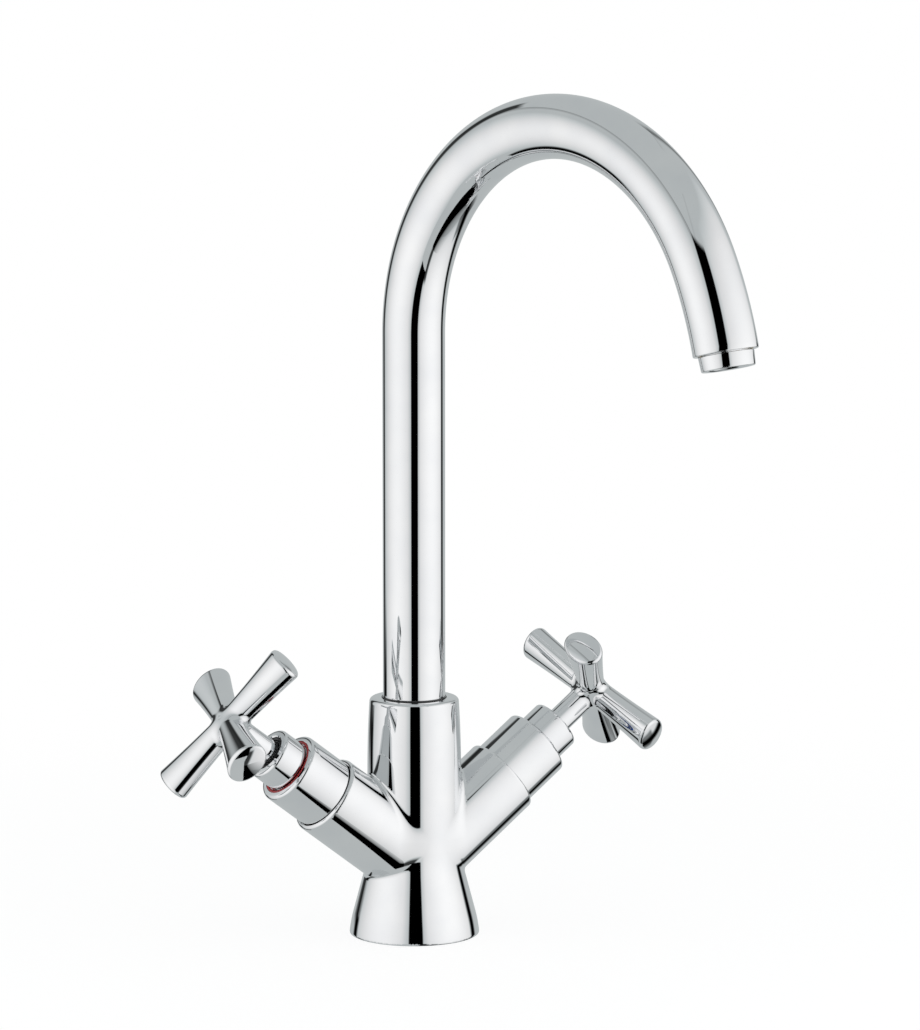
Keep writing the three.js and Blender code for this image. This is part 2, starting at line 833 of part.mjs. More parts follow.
const faucet = new THREE.Group();
faucet.add(
  piece('mixer_body', mixerBody(), chrome),
  piece('base_gasket', plainRing(gasketInner, gasketOuter, 0, gasketHeight, bodySides), rubber),
  piece('spout_glide_ring', glideRing(), nylon),
  piece('spout_retaining_screw', retainingScrew(), steel),
  valve(-1, 'hot', hotHandleTurn, hotRed),
  valve(1, 'cold', coldHandleTurn, coldBlue),
  spout(),
);

export default faucet;
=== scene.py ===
import json
from math import atan, cos, pi, radians, sin, tan

import bmesh
import bpy
import numpy as np
from mathutils import Matrix, Vector


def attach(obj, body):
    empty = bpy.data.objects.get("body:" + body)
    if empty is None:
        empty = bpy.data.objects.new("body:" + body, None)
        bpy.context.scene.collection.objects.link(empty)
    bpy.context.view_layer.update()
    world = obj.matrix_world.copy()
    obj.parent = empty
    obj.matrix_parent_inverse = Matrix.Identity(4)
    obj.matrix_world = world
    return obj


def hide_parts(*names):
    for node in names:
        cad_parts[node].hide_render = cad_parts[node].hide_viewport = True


# A two-handle kitchen faucet: finer pieces in place of the CAD nodes that show, finishes for
# them all, and the studio. Every size is in millimetres unless its note says otherwise.

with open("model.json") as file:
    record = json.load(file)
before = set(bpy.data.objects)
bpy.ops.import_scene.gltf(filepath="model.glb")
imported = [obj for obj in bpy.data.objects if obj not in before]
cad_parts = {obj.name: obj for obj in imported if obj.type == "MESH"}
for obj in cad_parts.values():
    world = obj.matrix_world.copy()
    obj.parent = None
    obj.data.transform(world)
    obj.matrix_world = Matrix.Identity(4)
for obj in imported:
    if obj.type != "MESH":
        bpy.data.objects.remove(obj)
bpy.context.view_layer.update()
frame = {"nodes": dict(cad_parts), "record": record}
mm = 0.001
home = Matrix.Identity(4)


def link(tree, source, target):
    tree.links.new(source, target)


# Distance fields, in millimetres, over arrays of points

def slopes(field, points, step=1e-3):
    moves = np.eye(3) * step
    rises = [field(points + move) - field(points - move) for move in moves]
    return np.stack(rises, axis=1) / (2 * step)


def roundedCut(a, b, radius):
    u = np.maximum(radius + a, 0)
    v = np.maximum(radius + b, 0)
    return np.minimum(-radius, np.maximum(a, b)) + np.hypot(u, v)


# Joins two fields with a fillet that reaches equally far onto both. Above the cone it reaches
# further where they meet at a shallow angle, as polishing leaves a casting.
def filleted(first, second, reach, shallow=0, tight=1, low=0, high=1):
    nearlyParallel = 0.98

    def field(points):
        a = first(points)
        b = second(points)
        joined = np.minimum(a, b)
        span = 2 * (reach + shallow)
        near = np.flatnonzero((np.abs(a) < span) & (np.abs(b) < span))
        if near.size == 0:
            return joined
        close = points[near]
        slopeA = slopes(first, close)
        slopeB = slopes(second, close)
        slopeA /= np.linalg.norm(slopeA, axis=1, keepdims=True) + 1e-9
        slopeB /= np.linalg.norm(slopeB, axis=1, keepdims=True) + 1e-9
        cosine = np.clip((slopeA * slopeB).sum(1), -nearlyParallel, nearlyParallel)
        rise = np.clip((close[:, 2] - low) / (high - low), 0, 1) if shallow else 1
        reached = reach * (tight + (1 - tight) * rise)
        reached = reached + shallow * rise * np.clip(cosine, 0, 1) ** 3
        radius = reached / np.tan(np.arccos(cosine) / 2)
        u = radius - a[near]
        v = radius - b[near]
        sine2 = 1 - cosine ** 2
        alpha = (u - v * cosine) / sine2
        beta = (v - u * cosine) / sine2
        ball = radius - np.sqrt(alpha ** 2 + beta ** 2 + 2 * alpha * beta * cosine)
        inside = (alpha > 0) & (beta > 0)
        joined[near[inside]] = np.minimum(joined[near[inside]], ball[inside])
        return joined
    return field


# Meshes a field: one vertex in each cell that the surface crosses, then drawn onto it.
def contour(field, low, high, cell, drawn=5):
    counts = [int(np.ceil((b - a) / cell)) + 1 for a, b in zip(low, high)]
    axes = [a + cell * np.arange(n) for a, n in zip(low, counts)]
    grid = np.stack(np.meshgrid(*axes, indexing="ij"), axis=-1)
    values = field(grid.reshape(-1, 3)).reshape(counts)
    inside = values < 0
    total = np.zeros([n - 1 for n in counts] + [3])
    crossings = np.zeros([n - 1 for n in counts])
    corners = [(i, j, k) for i in (0, 1) for j in (0, 1) for k in (0, 1)]

    def window(array, corner):
        return array[tuple(slice(n, count - 1 + n) for n, count in zip(corner, counts))]

    for start in corners:
        for axis in range(3):
            if start[axis]:
                continue
            end = tuple(1 if n == axis else start[n] for n in range(3))
            a = window(values, start)
            b = window(values, end)
            cuts = window(inside, start) != window(inside, end)
            share = np.where(cuts, a / np.where(cuts, a - b, 1), 0)
            for n in range(3):
                place = start[n] + (share if n == axis else 0)
                total[..., n] += np.where(cuts, place, 0)
            crossings += cuts
    crossed = crossings > 0
    index = -np.ones(crossed.shape, int)
    index[crossed] = np.arange(crossed.sum())
    cells = np.argwhere(crossed)
    points = np.array(low) + cell * (cells + total[crossed] / crossings[crossed][:, None])
    faces = []
    for axis in range(3):
        b, c = [(1, 2), (2, 0), (0, 1)][axis]
        here = [slice(1, -1)] * 3
        here[axis] = slice(0, -1)
        there = list(here)
        there[axis] = slice(1, None)
        first = inside[tuple(here)]
        second = inside[tuple(there)]
        spots = np.argwhere(first != second)
        offset = np.ones(3, int)
        offset[axis] = 0
        spots = spots + offset
        flip = ~first[first != second]
        ring = []
        for db, dc in ((1, 1), (0, 1), (0, 0), (1, 0)):
            corner = spots.copy()
            corner[:, b] -= db
            corner[:, c] -= dc
            ring.append(index[tuple(corner.T)])
        quads = np.stack(ring, axis=1)
        quads[flip] = quads[flip][:, ::-1]
        faces.append(quads)
    for _ in range(drawn):
        slope = slopes(field, points)
        points = points - field(points)[:, None] * slope / (slope ** 2).sum(1)[:, None]
    return points, np.concatenate(faces)


def newObject(name, points, faces, place=home):
    mesh = bpy.data.meshes.new(name)
    turn = np.array(place.to_3x3())
    move = np.array(place.translation)
    mesh.from_pydata(((np.asarray(points, float) @ turn.T + move) * mm).tolist(), [],
                     [list(map(int, face)) for face in faces])
    mesh.validate()
    mesh.polygons.foreach_set("use_smooth", np.ones(len(mesh.polygons), bool))
    made = bpy.data.objects.new(name, mesh)
    bpy.context.scene.collection.objects.link(made)
    return made


def setSharp(piece, degrees=32):
    piece.data.set_sharp_from_angle(angle=radians(degrees))
    return piece


# Turns a closed profile of (radius, height) points, anticlockwise with the radius to the right.
def lathe(name, profile, sides, place=home):
    angles = 2 * pi * np.arange(sides) / sides
    rows = []
    for radius, height in profile:
        if radius == 0:
            rows.append(np.array([[0, 0, height]]))
        else:
            rows.append(np.stack([radius * np.cos(angles), radius * np.sin(angles),
                                  np.full(sides, height)], axis=1))
    starts = np.cumsum([0] + [len(row) for row in rows])
    faces = []
    count = len(profile)
    closed = profile[0][0] > 0
    for i in range(count if closed else count - 1):
        j = (i + 1) % count
        for k in range(sides):
            m = (k + 1) % sides
            face = [starts[row] + (step if profile[row][0] else 0)
                    for row, step in ((i, k), (i, m), (j, m), (j, k))]
            face = [v for n, v in enumerate(face) if v not in face[:n]]
            faces.append(face)
    return setSharp(newObject(name, np.concatenate(rows), faces, place))


def arc(centreRadius, centreHeight, radius, start, end, steps=8):
    angles = [radians(start + (end - start) * i / steps) for i in range(steps + 1)]
    return [(centreRadius + radius * cos(t), centreHeight + radius * sin(t)) for t in angles]


def cylinder(radius, low, high, sides=64, place=home):
    profile = [(0, low), (radius, low), (radius, high), (0, high)]
    return lathe("cutter", profile, sides, place)


def box(size, centre, place=home):
    x, y, z = (s / 2 for s in size)
    signs = [(-1, -1, -1), (1, -1, -1), (1, 1, -1), (-1, 1, -1),
             (-1, -1, 1), (1, -1, 1), (1, 1, 1), (-1, 1, 1)]
    points = [(centre[0] + a * x, centre[1] + b * y, centre[2] + c * z) for a, b, c in signs]
    faces = [(3, 2, 1, 0), (4, 5, 6, 7), (0, 1, 5, 4), (1, 2, 6, 5), (2, 3, 7, 6), (3, 0, 4, 7)]
    return newObject("cutter", points, faces, place)


def cutAway(piece, cutters):
    for cutter in cutters:
        step = piece.modifiers.new("cut", "BOOLEAN")
        step.operation = "DIFFERENCE"
        step.solver = "MANIFOLD"
        step.object = cutter
    bpy.context.view_layer.update()
    shaped = bpy.data.meshes.new_from_object(piece.evaluated_get(
        bpy.context.evaluated_depsgraph_get()))
    piece.modifiers.clear()
    old = piece.data
    piece.data = shaped
    shaped.name = piece.name
    bpy.data.meshes.remove(old)
    for cutter in cutters:
        bpy.data.objects.remove(cutter)


# Gives the polished skin the exact normals of its field and leaves the cut faces as they are.
def polish(piece, field, place=home, offSkin=0.02, aligned=0.85):
    mesh = piece.data
    setSharp(piece)
    count = len(mesh.vertices)
    places = np.empty(count * 3)
    mesh.vertices.foreach_get("co", places)
    turn = np.array(place.to_3x3())
    local = (places.reshape(-1, 3) / mm - np.array(place.translation)) @ turn
    slope = slopes(field, local)
    slope /= np.linalg.norm(slope, axis=1, keepdims=True) + 1e-12
    onSkin = np.abs(field(local)) < offSkin
    normals = slope @ turn.T
    loops = len(mesh.loops)
    corner = np.empty(loops * 3)
    mesh.corner_normals.foreach_get("vector", corner)
    corner = corner.reshape(-1, 3)
    vertex = np.empty(loops, int)
    mesh.loops.foreach_get("vertex_index", vertex)
    faceNormals = np.empty(len(mesh.polygons) * 3)
    mesh.polygons.foreach_get("normal", faceNormals)
    totals = np.empty(len(mesh.polygons), int)
    mesh.polygons.foreach_get("loop_total", totals)
    perLoop = np.repeat(faceNormals.reshape(-1, 3), totals, axis=0)
    follows = onSkin[vertex] & ((normals[vertex] * perLoop).sum(1) > aligned)
    corner[follows] = normals[vertex][follows]
    mesh.normals_split_custom_set(corner.tolist())


# Cast body. Rise is in degrees, slope is a ratio and barrel a power.

mixerBody = {
    "foot": {"edge": 0.8, "rim": 0.75, "rimHeight": 9},
    "cone": {"radius": 25.95, "slope": 0.265, "blend": 30},
    "column": {"radius": 18.1, "height": 92.8, "edge": 1.5, "barrelStart": 62,
               "narrowing": 0.95, "barrel": 2.2},
    "arm": {"rise": 37.3, "axisHeight": 28.65, "radius": 15.7, "length": 49.5, "edge": 1.3},
    # How far fillets reach onto both faces. From "low" up to "high", in height, "tight" gives
    # way to the whole reach, and "shallow" is added where the faces meet at a shallow angle.
    "fillet": {"reach": 2.2, "shallow": 7.5, "tight": 0.6, "low": 27, "high": 39},
    "holes": {
        "collar": {"radius": 14.5, "from": 45.6, "to": 52, "sides": 96},    # along an arm
        "valve": {"radius": 10.8, "from": 20, "to": 46, "sides": 64},       # along an arm
        "inlet": {"radius": 4.8, "from": -1, "to": 16, "sides": 48, "aside": 9},
        "passage": {"radius": 3.2, "inlet": 15, "seat": 21, "outlet": 26, "chamber": 50.6},
        "chamber": {"radius": 6.5, "from": 46.4, "to": 59, "sides": 48},
        "tail": {"radius": 9.7, "from": 58.1, "to": 85, "sides": 64},
        "tube": {"radius": 12.6, "from": 84.4, "to": 94, "sides": 96},
        "screw": {"radius": 2.3, "height": 78.4, "from": 8.4, "to": 19.2},
        "stud": {"radius": 3.4, "from": -1, "to": 18, "sides": 32, "behind": 14},
        "seal": {"inner": 19, "outer": 22.6, "from": -1, "to": 2, "sides": 96},
    },
    "cell": 0.7, "quickCell": 1.4, "low": (-51, -27, -2), "high": (51, 27, 95),
}


def valvePlace(side, turn=0):
    arm = mixerBody["arm"]
    around = Matrix.Rotation(pi if side == "hot" else 0, 4, "Z")
    lift = Matrix.Translation((0, 0, arm["axisHeight"]))
    lean = Matrix.Rotation(radians(90 - arm["rise"]), 4, "Y")
    return around @ lift @ lean @ Matrix.Rotation(radians(turn), 4, "Z")


def columnField(points):
    foot, cone, column = mixerBody["foot"], mixerBody["cone"], mixerBody["column"]
    x, y, z = points.T
    lean = atan(cone["slope"])
    waistHeight = (cone["radius"] - column["radius"]) / cone["slope"]
    blendEnd = waistHeight + cone["blend"] * tan(lean / 2)
    blendStart = blendEnd - cone["blend"] * sin(lean)
    drop = np.clip(blendEnd - z, 0, cone["blend"] * sin(lean))
    profile = column["radius"] + cone["blend"] - np.sqrt(cone["blend"] ** 2 - drop ** 2)
    profile += np.maximum(blendStart - z, 0) * cone["slope"]
    below = np.clip(foot["rimHeight"] - z, 0, foot["rimHeight"] + 2)
    profile -= foot["rim"] * (below / foot["rimHeight"]) ** 2
    rise = (z - column["barrelStart"]) / (column["height"] - column["barrelStart"])
    profile -= column["narrowing"] * np.clip(rise, 0, 1.1) ** column["barrel"]
    side = (np.hypot(x, y) - profile) * cos(lean / 2)
    topped = roundedCut(side, z - column["height"], column["edge"])
    return roundedCut(topped, -z, foot["edge"])


def armField(side):
    arm = mixerBody["arm"]
    axis = np.array(valvePlace(side).to_3x3() @ Vector((0, 0, 1)))
    start = np.array([0, 0, arm["axisHeight"]])

    def field(points):
        local = points - start
        along = local @ axis
        radial = np.sqrt(np.maximum((local ** 2).sum(1) - along ** 2, 1e-12))
        ended = roundedCut(radial - arm["radius"], along - arm["length"], arm["edge"])
        return np.maximum(ended, -along)
    return field


def drill(start, end, radius, sides=32):
    way = Vector(end) - Vector(start)
    place = Matrix.Translation(start) @ way.to_track_quat("Z", "Y").to_matrix().to_4x4()
    return cylinder(radius, 0, way.length, sides, place)


def bore(hole, place=home):
    return cylinder(hole["radius"], hole["from"], hole["to"], hole["sides"], place)


def makeBody():
    fillet, holes = mixerBody["fillet"], mixerBody["holes"]
    skin = filleted(filleted(columnField, armField("hot"), **fillet), armField("cold"), **fillet)
    cell = mixerBody["cell"]
    points, faces = contour(skin, mixerBody["low"], mixerBody["high"], cell)
    body = newObject("bodyCasting", points, faces)
    inlet, passage, screw = holes["inlet"], holes["passage"], holes["screw"]
    stud, seal = holes["stud"], holes["seal"]
    cutters = []
    for side, sign in (("hot", -1), ("cold", 1)):
        place = valvePlace(side)
        aside = inlet["aside"] * sign
        cutters.append(bore(holes["collar"], place))
        cutters.append(bore(holes["valve"], place))
        cutters.append(bore(inlet, Matrix.Translation((aside, 0, 0))))
        cutters.append(drill((aside, 0, passage["inlet"]),
                             place @ Vector((0, 0, passage["seat"])), passage["radius"]))
        cutters.append(drill((0, 0, passage["chamber"]),
                             place @ Vector((0, 0, passage["outlet"])), passage["radius"]))
    cutters.append(bore(holes["chamber"]))
    cutters.append(bore(holes["tail"]))
    cutters.append(bore(holes["tube"]))
    cutters.append(drill((0, screw["from"], screw["height"]), (0, screw["to"], screw["height"]),
                         screw["radius"]))
    cutters.append(bore(stud, Matrix.Translation((0, stud["behind"], 0))))
    groove = [(seal["inner"], seal["from"]), (seal["outer"], seal["from"]),
              (seal["outer"], seal["to"]), (seal["inner"], seal["to"])]
    cutters.append(lathe("cutter", groove, seal["sides"]))
    cutAway(body, cutters)
    polish(body, skin)
    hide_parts("mixer_body")
    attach(body, "mixer")
    return body


# Spout: a riser, a bend and a flatter bend at its end. Turn, endTurn and swing are in degrees.

spout = {"radius": 12, "wall": 1.5, "foot": 86.6, "riserTop": 233.85, "bend": 82.9,
         "turn": 152.97, "endBend": 145.4, "endTurn": 13.17, "swing": 13.3, "rim": 0.45,
         "evenFrom": 92, "rings": (24, 120, 18), "sides": 96}
spoutPlace = Matrix.Rotation(radians(spout["swing"] - 90), 4, "Z")


# The middle line from the riser's foot to the outlet: reach, height and lean of each station
def neckPath():
    riser, bend, end = spout["rings"]
    stations = [(0, spout["foot"], 0)]
    stations += [(0, z, 0) for z in np.linspace(spout["evenFrom"], spout["riserTop"], riser)]
    turn = radians(spout["turn"])
    for angle in np.linspace(0, turn, bend + 1)[1:]:
        stations.append((spout["bend"] * (1 - cos(angle)),
                         spout["riserTop"] + spout["bend"] * sin(angle), angle))
    reach, height, _ = stations[-1]
    for more in np.linspace(0, radians(spout["endTurn"]), end + 1)[1:]:
        angle = turn + more
        stations.append((reach + spout["endBend"] * (cos(turn) - cos(angle)),
                         height + spout["endBend"] * (sin(angle) - sin(turn)), angle))
    return stations


# A tree takes a mesh and named sizes in, and ends in real geometry with its material.
def startTree(name, sizes):
    tree = bpy.data.node_groups.new(name, "GeometryNodeTree")
    tree.interface.new_socket("Geometry", in_out="INPUT", socket_type="NodeSocketGeometry")
    for size, kind in sizes.items():
        tree.interface.new_socket(size, in_out="INPUT", socket_type=kind)
    tree.interface.new_socket("Geometry", in_out="OUTPUT", socket_type="NodeSocketGeometry")
    return tree, tree.nodes.new("NodeGroupInput")


def finishTree(tree, part, material):
    real = tree.nodes.new("GeometryNodeRealizeInstances")
    link(tree, part, real.inputs["Geometry"])
    look = tree.nodes.new("GeometryNodeSetMaterial")
    look.inputs["Material"].default_value = material
    link(tree, real.outputs["Geometry"], look.inputs["Geometry"])
    end = tree.nodes.new("NodeGroupOutput")
    link(tree, look.outputs["Geometry"], end.inputs["Geometry"])
    return tree


def tubeTree(material):
    tree, start = startTree("tubeAlongPath", {"Radius": "NodeSocketFloat",
                                              "Sides": "NodeSocketInt"})
    path = tree.nodes.new("GeometryNodeMeshToCurve")
    link(tree, start.outputs["Geometry"], path.inputs["Mesh"])
    section = tree.nodes.new("GeometryNodeCurvePrimitiveCircle")
    link(tree, start.outputs["Sides"], section.inputs["Resolution"])
    link(tree, start.outputs["Radius"], section.inputs["Radius"])
    tube = tree.nodes.new("GeometryNodeCurveToMesh")
    link(tree, path.outputs["Curve"], tube.inputs["Curve"])
    link(tree, section.outputs["Curve"], tube.inputs["Profile Curve"])
    return finishTree(tree, tube.outputs["Mesh"], material)


# Runs a tree on a mesh of points and edges and gives back the plain mesh.
def grown(name, points, edges, tree, sizes, finish=None):
    mesh = bpy.data.meshes.new(name)
    mesh.from_pydata(points, edges, [])
    holder = bpy.data.objects.new(name, mesh)
    bpy.context.scene.collection.objects.link(holder)
    step = holder.modifiers.new("grow", "NODES")
    step.node_group = tree
    for item in tree.interface.items_tree:
        if item.in_out == "INPUT" and item.name in sizes:
            step[item.identifier] = sizes[item.name]
    if finish:
        finish(holder)
    bpy.context.view_layer.update()
    result = bpy.data.meshes.new_from_object(
        holder.evaluated_get(bpy.context.evaluated_depsgraph_get()))
    holder.modifiers.clear()
    bpy.data.objects.remove(holder)
    return result


def thicken(tube):
    wall = tube.modifiers.new("wall", "SOLIDIFY")
    wall.thickness = spout["wall"] * mm
    wall.offset = -1
    wall.use_even_offset = True
    rim = tube.modifiers.new("rim", "BEVEL")
    rim.width = spout["rim"] * mm
    rim.segments = 4
    rim.limit_method = "ANGLE"
    rim.angle_limit = radians(60)


def makeTube(material):
    points = [(reach * mm, 0, height * mm) for reach, height, lean in neckPath()]
    edges = [(n, n + 1) for n in range(len(points) - 1)]
    sizes = {"Radius": spout["radius"] * mm, "Sides": spout["sides"]}
    mesh = grown("swanNeck", points, edges, tubeTree(material), sizes, thicken)
    mesh.transform(spoutPlace)
    mesh.polygons.foreach_set("use_smooth", np.ones(len(mesh.polygons), bool))
    tube = bpy.data.objects.new("swanNeck", mesh)
    bpy.context.scene.collection.objects.link(tube)
    setSharp(tube)
    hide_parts("spout_tube")
    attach(tube, "spout")
    return tube


# The plastic ring that the tube turns on; its thin black lip round the tube's foot is painted
# shade.
glideRing = {"bore": 9.9, "radius": 12.45, "fit": 12.03, "foot": 84.7, "floor": 86.2,
             "lip": 0.45, "edge": 0.15, "sides": 96}


def makeGlideRing():
    # The black lip stands proud of the collar as a painted shadow gap where the tube meets the
    # collar.
    top = mixerBody["column"]["height"] + glideRing["lip"]
    edge = glideRing["edge"]
    profile = [(glideRing["bore"], glideRing["foot"]), (glideRing["radius"], glideRing["foot"]),
               (glideRing["radius"], top - edge), (glideRing["radius"] - edge, top),
               (glideRing["fit"], top), (glideRing["fit"], glideRing["floor"]),
               (glideRing["bore"], glideRing["floor"])]
    ring = lathe("tubeGlideRing", profile, glideRing["sides"])
    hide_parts("spout_glide_ring")
    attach(ring, "mixer")
    return ring


def outletPlace():
    reach, height, lean = neckPath()[-1]
    turn = Matrix.Rotation(lean, 4, "Y")
    return spoutPlace @ Matrix.Translation((reach, 0, height)) @ turn


# The chromed ring under the tube's end. Its lengths run outwards from the tube's outlet.
aerator = {"length": 5.8, "radius": 10.2, "taper": 0.3, "lip": 0.5, "bore": 7.6, "thread": 8.9,
           "depth": 6, "seam": 0.3, "shoulder": 0.25, "lipWidth": 0.85, "mouth": 8.1,
           "mouthDepth": 0.5, "boreDepth": 1, "sides": 96}


def makeAerator():
    place = outletPlace()
    end, seam = aerator["length"], aerator["seam"]
    tip = aerator["radius"] - aerator["taper"]
    shoulder, lip = aerator["shoulder"], aerator["lip"]
    profile = [(aerator["bore"], -aerator["depth"]), (aerator["thread"], -aerator["depth"]),
               (aerator["thread"], seam)]
    profile += arc(aerator["radius"] - shoulder, seam + shoulder, shoulder, -90, 0, 5)
    profile += arc(tip - lip, end - lip, lip, 0, 90, 7)
    profile += [(tip - aerator["lipWidth"], end), (aerator["mouth"], end - aerator["mouthDepth"]),
                (aerator["bore"], end - aerator["boreDepth"])]
    ring = lathe("aeratorRing", profile, aerator["sides"], place)
    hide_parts("aerator_housing")
    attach(ring, "spout")
    return ring


# The plastic flow insert: a plug with a honeycomb of small cells standing in its outlet
insert = {"foot": -7.5, "flange": 8.6, "flangeTop": -6.3, "barrel": 7.25, "end": 4.6,
          "rim": 6.7, "floor": 2.2, "pitch": 1.5, "rows": 6, "cell": 0.72, "wall": 0.16,
          "height": 2.1, "sunk": 0.02, "clear": 0.15, "sides": 96}


def cellTree(material):
    tree, start = startTree("honeycombCells", {
        "Cell": "NodeSocketFloat", "Wall": "NodeSocketFloat", "Height": "NodeSocketFloat"})
    outline = tree.nodes.new("GeometryNodeCurvePrimitiveCircle")
    outline.inputs["Resolution"].default_value = 6
    link(tree, start.outputs["Cell"], outline.inputs["Radius"])
    section = tree.nodes.new("GeometryNodeCurvePrimitiveQuadrilateral")
    link(tree, start.outputs["Wall"], section.inputs["Width"])
    link(tree, start.outputs["Height"], section.inputs["Height"])
    tube = tree.nodes.new("GeometryNodeCurveToMesh")
    link(tree, outline.outputs["Curve"], tube.inputs["Curve"])
    link(tree, section.outputs["Curve"], tube.inputs["Profile Curve"])
    cells = tree.nodes.new("GeometryNodeInstanceOnPoints")
    link(tree, start.outputs["Geometry"], cells.inputs["Points"])
    link(tree, tube.outputs["Mesh"], cells.inputs["Instance"])
    return finishTree(tree, cells.outputs["Instances"], material)


def makeCells(material, place):
    pitch, rows = insert["pitch"], insert["rows"]
    reach = insert["rim"] - insert["cell"] - insert["clear"]
    points = []
    for row in range(-rows, rows + 1):
        for step in range(-rows, rows + 1):
            x = row * pitch * cos(radians(30))
            y = (step + row % 2 / 2) * pitch
            if x * x + y * y < reach ** 2:
                points.append((x, y, 0))
    sizes = {"Cell": insert["cell"], "Wall": insert["wall"], "Height": insert["height"]}
    cells = grown("cells", points, [], cellTree(material), sizes)
    middle = insert["floor"] + insert["height"] / 2 - insert["sunk"]
    cells.transform(Matrix.Scale(mm, 4) @ place @ Matrix.Translation((0, 0, middle)))
    return cells


def makeInsert(material):
    place = outletPlace()
    profile = [(0, insert["foot"]), (insert["flange"], insert["foot"]),
               (insert["flange"], insert["flangeTop"]), (insert["barrel"], insert["flangeTop"]),
               (insert["barrel"], insert["end"]), (insert["rim"], insert["end"]),
               (insert["rim"], insert["floor"]), (0, insert["floor"])]
    plug = lathe("flowInsert", profile, insert["sides"], place)
    both = bmesh.new()
    both.from_mesh(plug.data)
    cells = makeCells(material, place)
    both.from_mesh(cells)
    bpy.data.meshes.remove(cells)
    both.to_mesh(plug.data)
    both.free()
    dress(setSharp(plug), material)
    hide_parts("aerator_cartridge")
    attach(plug, "spout")


# Valves. Heights run along the arm's axis, from where it meets the column's. The bush's depths
# are below the bonnet's end. The index ring sits in the cover with "gap" round and "under" it.

cover = {"radius": 14.05, "foot": 45.9, "end": 69, "edge": 1.4, "bore": 12.05, "neck": 8.97,
         "gap": 0.12, "under": 0.2, "land": 2, "sides": 128}
indexRing = {"inner": 10.5, "outer": 11.5, "depth": 0.9, "crown": 0.18, "half": 0.45,
             "slope": 0.22, "sides": 128}
bonnet = {"radius": 10.3, "foot": 69.3, "end": 79.5, "edge": 1.3, "mouth": 7.15, "ledge": 2.5,
          "chamfer": 0.45, "relief": 0.35, "reliefTop": 0.45, "reliefEnd": 0.6, "sides": 128}
bushing = {"bore": 5.35, "radius": 6.75, "flange": 8.5, "groove": (5.8, 6.15), "edge": 0.15,
           "foot": 3.9, "flangeTop": 2.8, "shoulder": 0.55, "grooveTop": 0.9, "grooveFloor": 2.6,
           "lip": 1.15, "sides": 96}


def makeCover(side):
    end, edge = cover["end"], cover["edge"]
    base = end - indexRing["depth"] - cover["under"]
    outer, inner = indexRing["outer"] + cover["gap"], indexRing["inner"] - cover["gap"]
    profile = [(cover["bore"], cover["foot"]), (cover["radius"], cover["foot"])]
    profile += arc(cover["radius"] - edge, end - edge, edge, 0, 90, 12)
    profile += [(outer, end), (outer, base), (inner, base), (inner, end), (cover["neck"], end),
                (cover["neck"], base - cover["land"]), (cover["bore"], base - cover["land"])]
    sleeve = lathe(f"{side}CoverSleeve", profile, cover["sides"], valvePlace(side))
    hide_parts(f"{side}_cover")
    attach(sleeve, "mixer")
    return sleeve


def makeIndexRing(side):
    end, crown, half = cover["end"], indexRing["crown"], indexRing["half"]
    low = end - indexRing["depth"]
    middle = indexRing["outer"] - half
    profile = [(indexRing["inner"], low), (indexRing["outer"], low)]
    profile += [(middle + half * cos(t), end - crown + crown * sin(t))
                for t in np.linspace(0, pi, 9)]
    profile.append((indexRing["inner"], end - indexRing["slope"]))
    ring = lathe(f"{side}IndexRing", profile, indexRing["sides"], valvePlace(side))
    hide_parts(f"{side}_index_ring")
    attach(ring, "mixer")
    return ring


def makeBonnet(side):
    end, foot, radius, edge = (bonnet[size] for size in ("end", "foot", "radius", "edge"))
    waist = radius - bonnet["relief"]
    mouth, chamfer, ledge = bonnet["mouth"], bonnet["chamfer"], end - bonnet["ledge"]
    profile = [(cover["neck"], foot), (waist, foot), (waist, foot + bonnet["reliefTop"]),
               (radius, foot + bonnet["reliefEnd"])]
    profile += arc(radius - edge, end - edge, edge, 0, 90, 12)
    profile += [(mouth + chamfer, end), (mouth, end - chamfer), (mouth, ledge),
                (cover["neck"], ledge)]
    cap = lathe(f"{side}Bonnet", profile, bonnet["sides"], valvePlace(side))
    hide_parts(f"{side}_bonnet")
    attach(cap, "mixer")
    return cap


def makeBush(side):
    end, hole, radius = bonnet["end"], bushing["bore"], bushing["radius"]
    foot, flangeTop, shoulder, grooveTop, grooveFloor, lip = (
        end - bushing[depth] for depth in
        ("foot", "flangeTop", "shoulder", "grooveTop", "grooveFloor", "lip"))
    inner, outer = bushing["groove"]
    half = (inner - hole) / 2
    profile = [(hole, foot), (bushing["flange"], foot), (bushing["flange"], flangeTop),
               (radius, flangeTop), (radius, shoulder)]
    profile += arc(radius - bushing["edge"], shoulder, bushing["edge"], 0, 90, 4)
    profile += [(outer, grooveTop), (outer, grooveFloor), (inner, grooveFloor), (inner, lip)]
    profile += arc(hole + half, lip, half, 0, 180, 6)
    bush = lathe(f"{side}HandleBush", profile, bushing["sides"], valvePlace(side))
    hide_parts(f"{side}_handle_bush")
    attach(bush, "mixer")
    return bush


# Cross handles, about the cross's centre with the stem along -Z. Turns are in degrees, and
# flare is a power.

cross = {"hub": 99.9, "stemRadius": 5, "stemFoot": 75.6, "stemEdge": 0.3, "reach": 33.4,
         "edge": 1.1, "dome": 1.1, "rootWidth": 5.0, "tipWidth": 8.75, "rootDepth": 5.0,
         "tipDepth": 6.45, "flare": 1.4, "ease": 2, "fillet": 3, "cell": 0.45, "quickCell": 0.9,
         "low": (-34.9, -34.9, -26), "high": (34.9, 34.9, 8.1),
         "square": (5.8, 5.8, 22), "squareMiddle": -15.5,
         "screwRadius": 1.8, "screwDepth": 6, "screwHeight": -13, "screwTurn": 225,
         "turn": {"hot": 68.3, "cold": 37.2}}       # when closed, about the arm


def handlePlace(side):
    return valvePlace(side, cross["turn"][side]) @ Matrix.Translation((0, 0, cross["hub"]))


